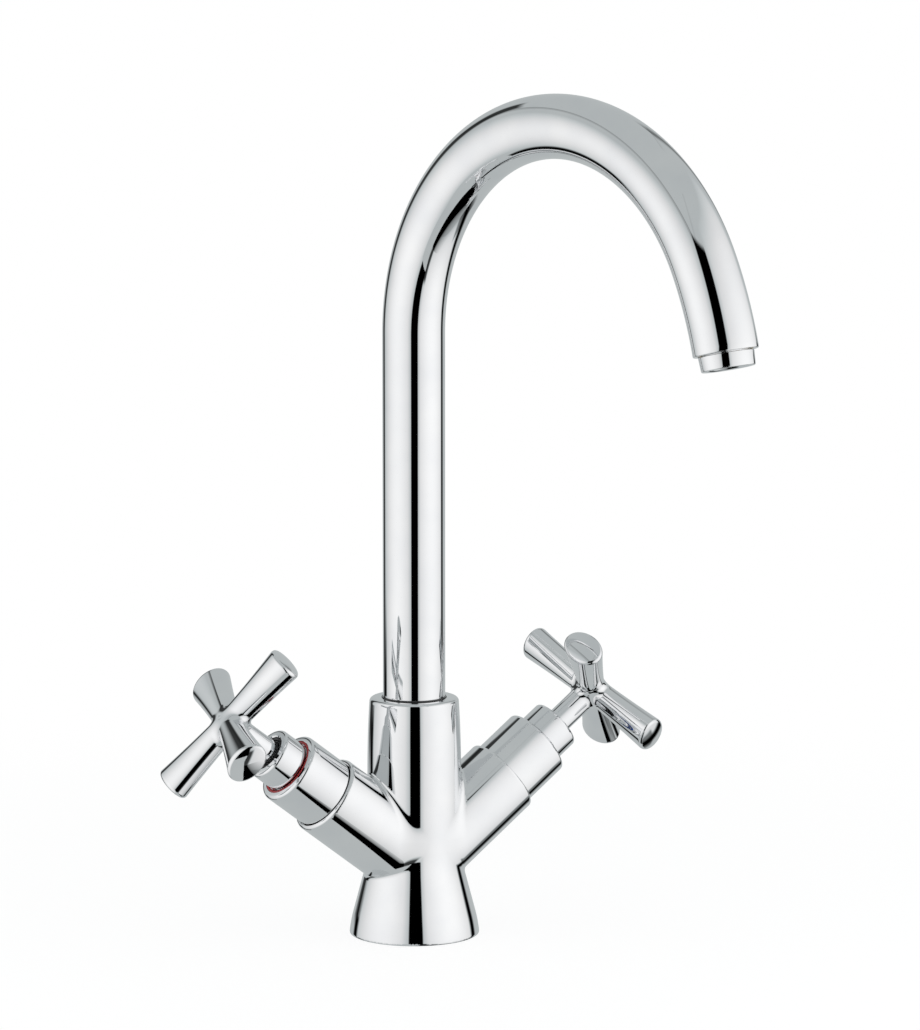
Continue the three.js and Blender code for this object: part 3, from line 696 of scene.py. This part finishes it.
def barField(alongY):
    def field(points):
        x, y, z = points.T
        across, along = (x, y) if alongY else (y, x)
        reach = np.abs(along)
        ease = cross["ease"]
        eased = np.sqrt(along ** 2 + ease ** 2) - ease * np.exp(-reach / (2 * ease))
        share = np.maximum(eased / cross["reach"], 0) ** cross["flare"]
        width = cross["rootWidth"] + (cross["tipWidth"] - cross["rootWidth"]) * share
        depth = cross["rootDepth"] + (cross["tipDepth"] - cross["rootDepth"]) * share
        ratio = np.sqrt((across / width) ** 2 + (z / depth) ** 2) + 1e-9
        steep = np.sqrt((across / width ** 2) ** 2 + (z / depth ** 2) ** 2) + 1e-9
        side = (ratio - 1) * ratio / steep
        end = reach - cross["reach"] + cross["dome"] * np.minimum(ratio, 2) ** 2
        return roundedCut(side, end, cross["edge"])
    return field


def stemField(points):
    x, y, z = points.T
    side = np.hypot(x, y) - cross["stemRadius"]
    drop = cross["hub"] - cross["stemFoot"]
    return np.maximum(roundedCut(side, -z - drop, cross["stemEdge"]), z)


def makeHandle(side):
    bars = filleted(barField(True), barField(False), cross["fillet"])
    shape = filleted(bars, stemField, cross["fillet"])
    cell = cross["cell"]
    points, faces = contour(shape, cross["low"], cross["high"], cell)
    place = handlePlace(side)
    handle = newObject(f"{side}CrossHandle", points, faces, place)
    square = place @ Matrix.Rotation(pi / 4, 4, "Z")
    screw = place @ Matrix.Rotation(radians(cross["screwTurn"]), 4, "Z")
    screw = screw @ Matrix.Translation((0, 0, cross["screwHeight"]))
    screw = screw @ Matrix.Rotation(-pi / 2, 4, "X")
    cutters = [box(cross["square"], (0, 0, cross["squareMiddle"]), square),
               cylinder(cross["screwRadius"], 0, cross["screwDepth"], 32, screw)]
    cutAway(handle, cutters)
    polish(handle, shape, place)
    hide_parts(f"{side}_handle")
    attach(handle, f"{side}_valve")
    return handle


# Materials

def nodeMaterial(name):
    material = bpy.data.materials.new(name)
    material.use_nodes = True
    tree = material.node_tree
    shader = tree.nodes["Principled BSDF"]
    return material, tree, shader


def noise(tree, scale, detail, roughness=0.5):
    place = tree.nodes.new("ShaderNodeTexCoord")
    texture = tree.nodes.new("ShaderNodeTexNoise")
    texture.inputs["Scale"].default_value = scale
    texture.inputs["Detail"].default_value = detail
    texture.inputs["Roughness"].default_value = roughness
    link(tree, place.outputs["Object"], texture.inputs["Vector"])
    return texture.outputs["Fac"]


# Stretches the middle of a noise from low to high.
def mottled(tree, grain, low, high):
    node = tree.nodes.new("ShaderNodeMapRange")
    for socket, number in (("From Min", 0.3), ("From Max", 0.7),
                           ("To Min", low), ("To Max", high)):
        node.inputs[socket].default_value = number
    link(tree, grain, node.inputs["Value"])
    return node.outputs["Result"]


def between(tree, share, dark, light):
    node = tree.nodes.new("ShaderNodeMix")
    node.data_type = "RGBA"
    node.inputs["A"].default_value = (*dark, 1)
    node.inputs["B"].default_value = (*light, 1)
    link(tree, share, node.inputs["Factor"])
    return node.outputs["Result"]


def bump(tree, shader, height, strength, distance):
    node = tree.nodes.new("ShaderNodeBump")
    node.inputs["Strength"].default_value = strength
    node.inputs["Distance"].default_value = distance
    link(tree, height, node.inputs["Height"])
    link(tree, node.outputs["Normal"], shader.inputs["Normal"])


# Each finish mottles between two colours and between two roughnesses. "scale", "film" and
# "ripple" are noise scales, and "depth" is the strength of the bump.
chrome = {"dark": (0.80, 0.81, 0.825), "light": (0.86, 0.865, 0.87), "rough": (0.018, 0.038),
          "scale": 60, "film": 160, "ripple": 30, "depth": 0.012}
smooth = {"scale": 120, "depth": 0.03, "detail": 1}
finishes = {
    "brass": {"name": "machinedBrass", "dark": (0.62, 0.45, 0.18), "light": (0.78, 0.60, 0.30),
              "rough": (0.25, 0.4), "metallic": 1},
    "steel": {"name": "zincPlatedSteel", "dark": (0.55, 0.56, 0.57),
              "light": (0.68, 0.69, 0.70), "rough": (0.25, 0.4), "metallic": 1},
    "ceramic": {"name": "lappedCeramic", "dark": (0.88, 0.85, 0.78),
                "light": (0.94, 0.92, 0.88), "rough": (0.15, 0.3)},
    "rubber": {"name": "sealRubber", "dark": (0.012, 0.012, 0.012),
               "light": (0.03, 0.03, 0.031), "rough": (0.6, 0.8)},
    "nylon": {"name": "mouldedNylon", "dark": (0.80, 0.79, 0.74), "light": (0.90, 0.89, 0.85),
              "rough": (0.35, 0.55)},
    "black_plastic": {"name": "blackNylon", "dark": (0.026, 0.026, 0.027),
                      "light": (0.04, 0.04, 0.041), "rough": (0.12, 0.22), **smooth},
    "hot_red": {"name": "redEnamel", "dark": (0.46, 0.018, 0.025),
                "light": (0.54, 0.03, 0.038), "rough": (0.2, 0.3), **smooth},
    "cold_blue": {"name": "blueEnamel", "dark": (0.02, 0.085, 0.36),
                  "light": (0.035, 0.12, 0.44), "rough": (0.2, 0.3), **smooth},
    "grey_nylon": {"name": "greyNylon", "dark": (0.10, 0.10, 0.105),
                   "light": (0.14, 0.14, 0.145), "rough": (0.3, 0.5)},
}


def chromeMaterial():
    material, tree, shader = nodeMaterial("polishedChrome")
    shader.inputs["Metallic"].default_value = 1
    tone = mottled(tree, noise(tree, chrome["scale"], 5), 0, 1)
    link(tree, between(tree, tone, chrome["dark"], chrome["light"]), shader.inputs["Base Color"])
    film = mottled(tree, noise(tree, chrome["film"], 3), *chrome["rough"])
    link(tree, film, shader.inputs["Roughness"])
    bump(tree, shader, noise(tree, chrome["ripple"], 1), chrome["depth"], 0.001)
    return material


def plainMaterial(name, dark, light, rough, metallic=0, scale=300, depth=0.1, detail=6):
    material, tree, shader = nodeMaterial(name)
    shader.inputs["Metallic"].default_value = metallic
    grain = noise(tree, scale, detail, 0.6)
    link(tree, between(tree, mottled(tree, grain, 0, 1), dark, light),
         shader.inputs["Base Color"])
    film = mottled(tree, noise(tree, scale * 3, 4), *rough)
    link(tree, film, shader.inputs["Roughness"])
    bump(tree, shader, grain, depth, 0.0002)
    return material


def makeMaterials():
    made = {"chrome": chromeMaterial()}
    for slot, finish in finishes.items():
        made[slot] = plainMaterial(**finish)
    return made


def dress(piece, material):
    piece.data.materials.clear()
    piece.data.materials.append(material)


# Stage, light and camera

# Where the photo was taken from. Azimuth and fall are in degrees, lens and film in millimetres.
view = {"place": (-919.6, -1715.1, 446.3), "azimuth": 61.28, "fall": 8.266, "lens": 179.17,
        "film": 36, "farthest": 20000}


def makeCamera():
    data = bpy.data.cameras.new("camera")
    data.lens = view["lens"]
    data.sensor_width = view["film"]
    data.clip_end = view["farthest"] * mm
    camera = bpy.data.objects.new("camera", data)
    azimuth, fall = radians(view["azimuth"]), radians(view["fall"])
    ahead = Vector((cos(azimuth) * cos(fall), sin(azimuth) * cos(fall), -sin(fall)))
    camera.location = Vector(view["place"]) * mm
    camera.rotation_euler = ahead.to_track_quat("-Z", "Y").to_euler()
    bpy.context.scene.collection.objects.link(camera)
    bpy.context.scene.camera = camera


# The studio is a tent of two pale panels with narrow dark gaps. Angles are in degrees from the
# direction back to the camera, positive to the camera's right. The tent's lengths are in metres,
# and the two cards' in millimetres, to the camera's right and towards it.
studio = {
    "facing": 241.28, "radius": 0.6, "bottom": -0.75, "top": 1.3, "sides": 96, "grey": 0.54,
    "white": (1, 1, 1), "cool": (0.945, 1, 1.005), "coolBelow": 0.72, "coolSoft": 0.16,
    "panels": {
        "left": {"from": -134, "to": -13, "soft": 11, "centre": -62, "spread": 62, "level": 1.07,
                 "height": 0.2, "above": 0.56, "below": 0.9},
        "right": {"from": 18, "to": 124, "soft": 9, "centre": 70, "spread": 66, "level": 1.12,
                  "height": 0.2, "above": 0.66, "below": 0.95},
    },
    "gaps": {
        "front": {"from": -9.5, "to": 15.5, "soft": 1.2, "low": -0.26, "high": 0.65, "dark": 1},
        "backLeft": {"from": -149, "to": -131, "soft": 4, "low": -0.04, "high": 0.78,
                     "dark": 0.93},
        "footLeft": {"from": -136, "to": -121, "soft": 4, "low": -0.9, "high": 0.02, "dark": 1},
        "backRight": {"from": 143, "to": 151, "soft": 5, "low": 0.32, "high": 0.85,
                      "dark": 0.7},
        "footRight": {"from": 119, "to": 134, "soft": 4, "low": -0.9, "high": 0.26, "dark": 1},
        "lowRight": {"from": 108, "to": 140, "soft": 4, "low": -0.9, "high": -0.3, "dark": 0.7},
        "footFront": {"from": 11, "to": 23, "soft": 3, "low": -0.9, "high": -0.13,
                      "dark": 0.93},
    },
    "gapEnds": 0.03,
    "rails": {
        "left": {"centre": -72, "middle": 0.28, "rise": 0.87, "line": 0.4, "band": 0.22},
        "right": {"centre": 75, "middle": 0.28, "rise": 1.65, "line": 0.18, "band": 0.05},
    },
    "rail": {"line": 0.012, "band": 0.1, "soft": 0.02, "ahead": 0.2},
    "bench": {"depth": 200, "outline": [
        (-150, -150), (-5, -150), (-5, 0), (12, 75), (22, 110), (31, 150), (34, 190), (38, 225),
        (45, 260), (52, 325), (68, 425), (92, 475), (112, 510), (133, 550), (150, 620),
        (-150, 620)]},
    "shade": {"depth": 450, "edge": 258, "slant": -0.08, "fade": 240, "bend": 0.45, "outline": [
        (5, -95), (85, -121), (320, -200), (510, -260), (510, 800), (60, 800), (40, 450),
        (20, 250), (-10, 50)]},
}


def maths(tree, operation, first, second=None):
    node = tree.nodes.new("ShaderNodeMath")
    node.operation = operation
    for socket, value in zip(node.inputs, (first, second)):
        if isinstance(value, (int, float)):
            socket.default_value = value
        elif value is not None:
            link(tree, value, socket)
    return node.outputs["Value"]


def rising(tree, value, middle, soft):
    node = tree.nodes.new("ShaderNodeMapRange")
    node.interpolation_type = "SMOOTHSTEP"
    node.inputs["From Min"].default_value = middle - soft
    node.inputs["From Max"].default_value = middle + soft
    link(tree, value, node.inputs["Value"])
    return node.outputs["Result"]


def within(tree, value, low, high, soft):
    up = rising(tree, value, low, soft)
    down = maths(tree, "SUBTRACT", 1, rising(tree, value, high, soft))
    return maths(tree, "MULTIPLY", up, down)


def squared(tree, value):
    return maths(tree, "MULTIPLY", value, value)


# A bell curve, as wide below its centre and above it as the last two say
def hump(tree, value, centre, below, above):
    away = maths(tree, "SUBTRACT", value, centre)
    low = maths(tree, "DIVIDE", maths(tree, "MINIMUM", away, 0), below)
    high = maths(tree, "DIVIDE", maths(tree, "MAXIMUM", away, 0), above)
    both = maths(tree, "ADD", squared(tree, low), squared(tree, high))
    return maths(tree, "EXPONENT", maths(tree, "MULTIPLY", both, -0.5))


# How far a point stands to the camera's right, away from the camera and up, in metres
def standing(tree):
    place = tree.nodes.new("ShaderNodeTexCoord")
    split = tree.nodes.new("ShaderNodeSeparateXYZ")
    link(tree, place.outputs["Object"], split.inputs["Vector"])
    return maths(tree, "MULTIPLY", split.outputs["X"], -1), split.outputs["Y"], split.outputs["Z"]


def emptyMaterial(name):
    material = bpy.data.materials.new(name)
    material.use_nodes = True
    tree = material.node_tree
    tree.nodes.clear()
    out = tree.nodes.new("ShaderNodeOutputMaterial")
    return material, tree, out.inputs["Surface"]


def shaderNode(tree, kind, colour=None, strength=None):
    node = tree.nodes.new(kind)
    if colour:
        node.inputs["Color"].default_value = (*colour, 1)
    if strength is not None:
        node.inputs["Strength"].default_value = strength
    return node.outputs[0]


def tentMaterial():
    material, tree, surface = emptyMaterial("studioTent")
    across, back, height = standing(tree)
    angle = maths(tree, "DEGREES", maths(tree, "ARCTAN2", across, back))
    light = studio["grey"]
    for panel in studio["panels"].values():
        beside = hump(tree, angle, panel["centre"], panel["spread"], panel["spread"])
        upright = hump(tree, height, panel["height"], panel["below"], panel["above"])
        glow = maths(tree, "MULTIPLY", maths(tree, "MULTIPLY", beside, upright), panel["level"])
        lit = within(tree, angle, panel["from"], panel["to"], panel["soft"])
        gain = maths(tree, "MAXIMUM", maths(tree, "SUBTRACT", glow, studio["grey"]), 0)
        light = maths(tree, "ADD", light, maths(tree, "MULTIPLY", gain, lit))
    for gap in studio["gaps"].values():
        wide = within(tree, angle, gap["from"], gap["to"], gap["soft"])
        tall = within(tree, height, gap["low"], gap["high"], studio["gapEnds"])
        dark = maths(tree, "MULTIPLY", maths(tree, "MULTIPLY", wide, tall), gap["dark"])
        light = maths(tree, "MULTIPLY", light, maths(tree, "SUBTRACT", 1, dark))
    rail = studio["rail"]
    for side in studio["rails"].values():
        turned = maths(tree, "RADIANS", maths(tree, "SUBTRACT", angle, side["centre"]))
        turned = maths(tree, "COSINE", turned)
        top = maths(tree, "ADD", maths(tree, "MULTIPLY", turned, side["rise"]), side["middle"])
        above = maths(tree, "SUBTRACT", height, top)
        line = maths(tree, "MULTIPLY", hump(tree, above, 0, rail["line"], rail["line"]),
                     side["line"])
        band = maths(tree, "MULTIPLY", within(tree, above, -rail["band"], 0, rail["soft"]),
                     side["band"])
        shade = maths(tree, "MULTIPLY", maths(tree, "ADD", line, band),
                      maths(tree, "GREATER_THAN", turned, rail["ahead"]))
        light = maths(tree, "MULTIPLY", light, maths(tree, "SUBTRACT", 1, shade))
    glow = tree.nodes.new("ShaderNodeEmission")
    link(tree, light, glow.inputs["Strength"])
    pale = rising(tree, light, studio["coolBelow"], studio["coolSoft"])
    link(tree, between(tree, pale, studio["cool"], studio["white"]), glow.inputs["Color"])
    link(tree, glow.outputs["Emission"], surface)
    return material


def makeTent():
    sides = studio["sides"]
    rings = []
    for height in (studio["bottom"], studio["top"]):
        for n in range(sides):
            turn = 2 * pi * n / sides
            rings.append((studio["radius"] * sin(turn), studio["radius"] * cos(turn), height))
    points = np.array(rings) / mm
    faces = [(n, (n + 1) % sides, sides + (n + 1) % sides, sides + n) for n in range(sides)]
    tent = newObject("studioTent", points, faces)
    tent.rotation_euler.z = radians(studio["facing"] - 90)
    tent.visible_camera = False
    dress(tent, tentMaterial())


def lightPath(tree, output):
    return tree.nodes.new("ShaderNodeLightPath").outputs[output]


def mixed(tree, share, first, second):
    node = tree.nodes.new("ShaderNodeMixShader")
    link(tree, share, node.inputs["Fac"])
    link(tree, first, node.inputs[1])
    link(tree, second, node.inputs[2])
    return node.outputs["Shader"]


# White to the camera and grey to the rest
def makeWorld():
    world = bpy.data.worlds.new("studio")
    world.use_nodes = True
    bpy.context.scene.world = world
    tree = world.node_tree
    tree.nodes.clear()
    out = tree.nodes.new("ShaderNodeOutputWorld")
    grey = shaderNode(tree, "ShaderNodeBackground", studio["cool"], studio["grey"])
    white = shaderNode(tree, "ShaderNodeBackground", studio["white"])
    link(tree, mixed(tree, lightPath(tree, "Is Camera Ray"), grey, white), out.inputs["Surface"])


# Cards under the tent, seen only as reflections. The bench is as grey as the world, and hides
# the left of the black shade below it. The shade fades out to its right.
def makeCard(name):
    card = studio[name]
    points = [(-x, y, -card["depth"]) for x, y in card["outline"]]
    piece = newObject(name, points, [tuple(range(len(points)))])
    piece.rotation_euler.z = radians(studio["facing"] - 90)
    piece.visible_camera = False
    piece.visible_shadow = False
    material, tree, surface = emptyMaterial(name)
    if "fade" in card:
        across, towards, height = standing(tree)
        edge = maths(tree, "MULTIPLY", towards, card["slant"])
        edge = maths(tree, "ADD", edge, card["edge"] * mm)
        beyond = maths(tree, "DIVIDE", maths(tree, "SUBTRACT", across, edge), card["fade"] * mm)
        beyond = maths(tree, "MINIMUM", maths(tree, "MAXIMUM", beyond, 0), 1)
        black = shaderNode(tree, "ShaderNodeEmission", (0, 0, 0))
        clear = shaderNode(tree, "ShaderNodeBsdfTransparent")
        faded = maths(tree, "POWER", beyond, card["bend"])
        link(tree, mixed(tree, faded, black, clear), surface)
    else:
        grey = shaderNode(tree, "ShaderNodeEmission", studio["cool"], studio["grey"])
        link(tree, grey, surface)
    dress(piece, material)


# White to the camera, with the object's faint shadow. Metal sees the tent's foot below it.
ground = {"size": 6000, "height": -0.05, "matt": (0.8, 0.8, 0.8), "faint": (0.22, 0.22, 0.22),
          "white": 0.86, "farFrom": 0.3, "farSoft": 0.2}       # the last two in metres


def floorMaterial():
    material, tree, surface = emptyMaterial("paleFloor")
    matt = shaderNode(tree, "ShaderNodeBsdfDiffuse", ground["matt"])
    faint = shaderNode(tree, "ShaderNodeBsdfDiffuse", ground["faint"])
    white = shaderNode(tree, "ShaderNodeEmission", studio["white"], ground["white"])
    both = tree.nodes.new("ShaderNodeAddShader")
    link(tree, faint, both.inputs[0])
    link(tree, white, both.inputs[1])
    far = shaderNode(tree, "ShaderNodeEmission", studio["white"])
    across, back, height = standing(tree)
    away = maths(tree, "SQRT", maths(tree, "ADD", squared(tree, across), squared(tree, back)))
    farther = rising(tree, away, ground["farFrom"], ground["farSoft"])
    seen = mixed(tree, farther, both.outputs["Shader"], far)
    shown = mixed(tree, lightPath(tree, "Is Camera Ray"), matt, seen)
    clear = shaderNode(tree, "ShaderNodeBsdfTransparent")
    link(tree, mixed(tree, lightPath(tree, "Is Glossy Ray"), shown, clear), surface)
    return material


def makeFloor():
    half, height = ground["size"] / 2, ground["height"]
    corners = [(-half, -half, height), (half, -half, height), (half, half, height),
               (-half, half, height)]
    floor = newObject("floor", corners, [(0, 1, 2, 3)])
    floor.rotation_euler.z = radians(studio["facing"] - 90)
    dress(floor, floorMaterial())


materials = makeMaterials()
for node in frame["record"]["subparts"]:
    dress(frame["nodes"][node["node"]], materials[node["material_slot"]])
print("CAD nodes dressed")
chromed = [makeBody()]
print("body made")
chromed += [makeTube(materials["chrome"]), makeAerator()]
dress(makeGlideRing(), materials["black_plastic"])
makeInsert(materials["grey_nylon"])
print("spout made")
for side, enamel in (("hot", "hot_red"), ("cold", "cold_blue")):
    chromed += [makeCover(side), makeBonnet(side), makeHandle(side)]
    dress(makeIndexRing(side), materials[enamel])
    dress(makeBush(side), materials["black_plastic"])
print("valves made")
for piece in chromed:
    dress(piece, materials["chrome"])
makeCamera()
makeWorld()
makeTent()
makeCard("bench")
makeCard("shade")
makeFloor()
print("studio made")
bpy.context.scene.view_settings.view_transform = "Standard"
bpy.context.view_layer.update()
